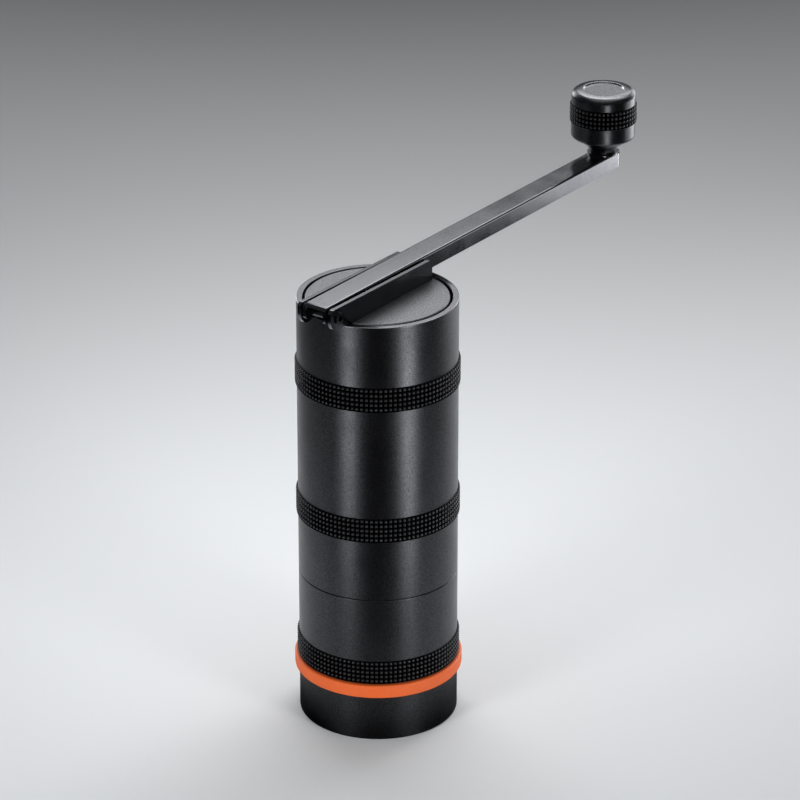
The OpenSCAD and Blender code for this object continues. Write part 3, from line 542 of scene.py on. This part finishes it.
knob_shell.data.materials.append(black_lip)
knob_faces = knob_shell.data.polygons
middles = np.empty(3 * len(knob_faces))
knob_faces.foreach_get("center", middles)
knob_faces.foreach_set("material_index", (middles[2::3] > LIP_Z * MM).astype(np.int32))


# ---------------------------------------------------------------- bracket and arm

def eased(node, name, edge):
    """A copy of a CAD node whose sharp edges the finisher has broken: each becomes a band, edge mm wide.

    Its flat faces stay flat to the eye, and only the bands turn the light.
    """
    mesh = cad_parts[node].data.copy()
    mesh.name = name
    work = bmesh.new()
    work.from_mesh(mesh)
    bmesh.ops.remove_doubles(work, verts=work.verts, dist=2e-6)
    bmesh.ops.dissolve_limit(work, angle_limit=math.radians(1), verts=work.verts, edges=work.edges)
    work.to_mesh(mesh)
    work.free()
    piece = bpy.data.objects.new(name, mesh)
    bpy.context.scene.collection.objects.link(piece)
    bevel = piece.modifiers.new("edge", "BEVEL")
    bevel.width = edge * MM
    bevel.segments = 2
    bevel.limit_method = "ANGLE"
    bevel.angle_limit = math.radians(40)
    flat = piece.modifiers.new("flat", "WEIGHTED_NORMAL")
    flat.keep_sharp = True
    mesh.shade_smooth()
    mesh.set_sharp_from_angle(angle=SHARP)
    return piece


stands_for(eased("crank_arm", "arm_channel", 0.2), "crank_arm", "arm", black_arm)
stands_for(eased("lid_bracket", "clevis", 0.22), "lid_bracket", "head", black_arm)


# ---------------------------------------------------------------- stage

VIEW_TURN = math.radians(53.7)  # clockwise from +Y to the way that the camera looks, seen from above

# The pool of light painted into the floor's tone: its peak, its middle to the right and away, how far it
# reaches, how fast it falls, how oval it is (below 1 is wider across), how it leans to one side, and from which
# line, and how it dies away far behind
PAINTED_LIGHT_POOL = {"peak": 0.8829, "right": -0.0291, "away": 0.0856, "reach": 0.3298, "fall": 1.2271, "oval": 0.8332,
        "lean": 0.6771, "line": -0.0758, "far": 4.0887}
DARKEST, SURROUND = 0.05, 0.4   # the least tone in the pool, and what the even grey round it adds


def seen(right, away, up):
    """A point given to the right of, away from and above the base as the camera sees it, in the row frame."""
    c, s = math.cos(VIEW_TURN), math.sin(VIEW_TURN)
    return (right * c + away * s, -right * s + away * c, up)


def eased_step(t):
    """A step from 0 to 1 that starts and ends softly: t^2 * (3 - 2 t)."""
    t = np.clip(t, 0, 1)
    return t * t * (3 - 2 * t)


def floor_with_painted_pool():
    """The floor: plain paper, whose tone is a painted pool of light about a point behind the base.

    tone = peak / (1 + d^2 / reach^2)^fall * e^(lean * x * (y - line) - far * (y - 0.5)^2), with x to the right
    and y away from the camera, and the last term only beyond y = 0.5 m. Well outside the pool an even grey
    takes over, with painted shade where the side boxes stand close. Reflections find the paper painted black in
    front as a painted dark reflection, right under the base as painted contact shade, and outside the pool.
    """
    half, count = 3.0, 241
    line = half * np.linspace(-1, 1, count) ** 3
    right, away = np.meshgrid(line, line, indexing="ij")
    x, y, z = seen(right, away, 0 * right)
    mesh = bpy.data.meshes.new("floor")
    mesh.from_pydata(np.stack([x, y, z], -1).reshape(-1, 3).tolist(), [],
                     grid_faces(count, count, False, False).tolist())

    x, y = np.clip(right, -0.3, 0.3), np.clip(away, -0.3, 0.9)
    # Painted light: the tone is a pool of light painted onto the paper
    spread = (PAINTED_LIGHT_POOL["oval"] * (right - PAINTED_LIGHT_POOL["right"]) ** 2 + (away - PAINTED_LIGHT_POOL["away"]) ** 2) / PAINTED_LIGHT_POOL["reach"] ** 2
    behind = np.maximum(y - 0.5, 0)
    tone = (PAINTED_LIGHT_POOL["peak"] / (1 + spread) ** PAINTED_LIGHT_POOL["fall"]
            * np.exp(PAINTED_LIGHT_POOL["lean"] * x * (y - PAINTED_LIGHT_POOL["line"]) - PAINTED_LIGHT_POOL["far"] * behind ** 2))
    outside = eased_step(np.maximum.reduce([
        (np.abs(right) - 0.2) / 0.1, (-0.25 - away) / 0.2, (away - 0.81) / 0.3]))
    # Painted shade: outside the pool the paper is darkened where the side boxes stand close and light it
    side_box_painted_shade = np.exp(-((right - 0.4) ** 2 + (away - 0.2) ** 2) / 0.2 ** 2)
    tone = np.maximum(tone * (1 - 0.9 * outside * side_box_painted_shade),
                      DARKEST + SURROUND * outside * (1 - side_box_painted_shade))
    # Painted dark reflection: gloss rays find the paper black in front, outside the pool, and right under the
    # base as painted contact shade
    front = eased_step((-0.02 - away) / 0.1)
    painted_contact_shade = np.clip((0.065 - np.hypot(right, away)) / 0.03, 0, 1)
    painted_dark_reflection = np.maximum.reduce([front, painted_contact_shade, 0.9 * outside])
    for name, value in (("tone", tone), ("painted_dark_reflection", painted_dark_reflection)):
        attribute = mesh.attributes.new(name, "FLOAT", "POINT")
        attribute.data.foreach_set("value", value.reshape(-1))
    floor = bpy.data.objects.new("floor", mesh)
    bpy.context.scene.collection.objects.link(floor)
    return floor


def paper():
    """Matt background paper, a cool white without gloss, whose tone follows the painted pool of light.

    In reflections part of it is painted black as a dark reflection, and as contact shade under the base, so
    that the gloss of the body keeps its depth.
    """
    made, tree, shader = material("background paper with painted pool of light")
    # The tone attribute carries the painted pool of light
    tone = add(tree, "ShaderNodeAttribute", {"attribute_name": "tone"})
    painted_dark_reflection = add(tree, "ShaderNodeAttribute", {"attribute_name": "painted_dark_reflection"})
    # Painted dark reflection: gloss rays see the paper black where the mask says so
    ray = add(tree, "ShaderNodeLightPath")
    hidden = add(tree, "ShaderNodeMath", {"operation": "MULTIPLY"},
                 links={0: painted_dark_reflection.outputs["Fac"], 1: ray.outputs["Is Glossy Ray"]})
    shown = add(tree, "ShaderNodeMath", {"operation": "SUBTRACT"}, inputs={0: 1.0},
                links={1: hidden.outputs["Value"]})
    seen_tone = add(tree, "ShaderNodeMath", {"operation": "MULTIPLY"},
                    links={0: tone.outputs["Fac"], 1: shown.outputs["Value"]})
    cool = add(tree, "ShaderNodeVectorMath", {"operation": "SCALE"}, inputs={0: (0.978, 1.002, 1.019)},
               links={"Scale": seen_tone.outputs["Value"]})
    tree.links.new(cool.outputs["Vector"], shader.inputs["Base Color"])
    shader.inputs["Roughness"].default_value = 1.0
    shader.inputs["Specular IOR Level"].default_value = 0.0
    return made


floor = floor_with_painted_pool()
finish(floor, paper())


# ---------------------------------------------------------------- light

def softbox(name, centre, aim, width, height, radiance, only=None):
    """A softbox that faces a point: an area lamp of one radiance all over.

    Its power is radiance * pi * width * height. only limits it to gloss or to diffuse light.
    """
    lamp = bpy.data.lights.new(name, "AREA")
    lamp.shape = "RECTANGLE"
    lamp.size, lamp.size_y = width, height
    lamp.energy = radiance * math.pi * width * height
    box = bpy.data.objects.new(name, lamp)
    here, there = Vector(seen(*centre)), Vector(seen(*aim))
    box.location = here
    box.rotation_euler = (there - here).to_track_quat("-Z", "Y").to_euler()
    box.visible_camera = False
    box.visible_diffuse = only != "gloss"
    box.visible_glossy = only != "diffuse"
    bpy.context.scene.collection.objects.link(box)
    return box


def beside(turn, distance, up):
    """A place at a distance from the body's axis, turned to the right by degrees from where the camera is."""
    turn = math.radians(turn)
    return distance * math.sin(turn), -distance * math.cos(turn), up


# Two low strips close in front draw the long lights on the body. They show in gloss alone, and the two front
# boxes in diffuse light alone, so that the paper stays even.
softbox("strip_left", beside(-38.6, 0.2, 0.05), (0, 0, 0.05), 0.055, 0.1, 4.8, "gloss")
softbox("strip_right", beside(40.8, 0.2, 0.05), (0, 0, 0.05), 0.055, 0.1, 7.3, "gloss")
softbox("front_left", beside(-42, 0.4, 0.125), (0, 0, 0.125), 0.11, 0.25, 10.5, "diffuse")
softbox("front_right", beside(42, 0.4, 0.125), (0, 0, 0.125), 0.11, 0.25, 9, "diffuse")
# The side boxes light the arm's side and the body's right edge, the edge boxes the outlines of the body.
softbox("side", beside(112, 0.45, 0.07), (0, 0, 0.07), 0.2, 0.14, 2.1)
softbox("side_back", beside(130, 0.5, 0.07), (0, 0, 0.07), 0.2, 0.14, 4.5)
softbox("edge_left", beside(-152, 0.9, 0.28), (0, 0, 0.1), 0.35, 0.5, 4.8)
softbox("edge_right", beside(146, 0.9, 0.28), (0, 0, 0.1), 0.45, 0.5, 3)
# Level faces mirror the box behind: its lower edge lets the arm darken towards the knob. The two above fill.
softbox("back", (-0.1, 1.36, 0.902), (0, 0.06, 0.15), 1.4, 0.326, 2.2)
softbox("over", (0.25, 0.75, 1.15), (0, 0, 0.1), 1.1, 0.65, 3.7)
softbox("top", (0, -0.1, 1.5), (0, 0, 0), 1.2, 1.2, 0.9)

world = bpy.data.worlds.new("studio")
world.use_nodes = True
world.node_tree.nodes["Background"].inputs["Color"].default_value = linear("#8a8c8f")
world.node_tree.nodes["Background"].inputs["Strength"].default_value = 0.3
bpy.context.scene.world = world


# ---------------------------------------------------------------- camera

CAMERA_BACK, CAMERA_UP = 1.2473, 0.68215
CAMERA_PITCH, CAMERA_YAW = math.radians(24.633), math.radians(0.3278)

lens = bpy.data.cameras.new("camera")
lens.sensor_width = 36
lens.lens = 192.0
lens.clip_start, lens.clip_end = 0.05, 20
camera = bpy.data.objects.new("camera", lens)
camera.location = seen(0, -CAMERA_BACK, CAMERA_UP)
camera.rotation_euler = Euler((math.pi / 2 - CAMERA_PITCH, 0, -VIEW_TURN - CAMERA_YAW))
bpy.context.scene.collection.objects.link(camera)
bpy.context.scene.camera = camera

bpy.context.scene.view_settings.view_transform = "Standard"
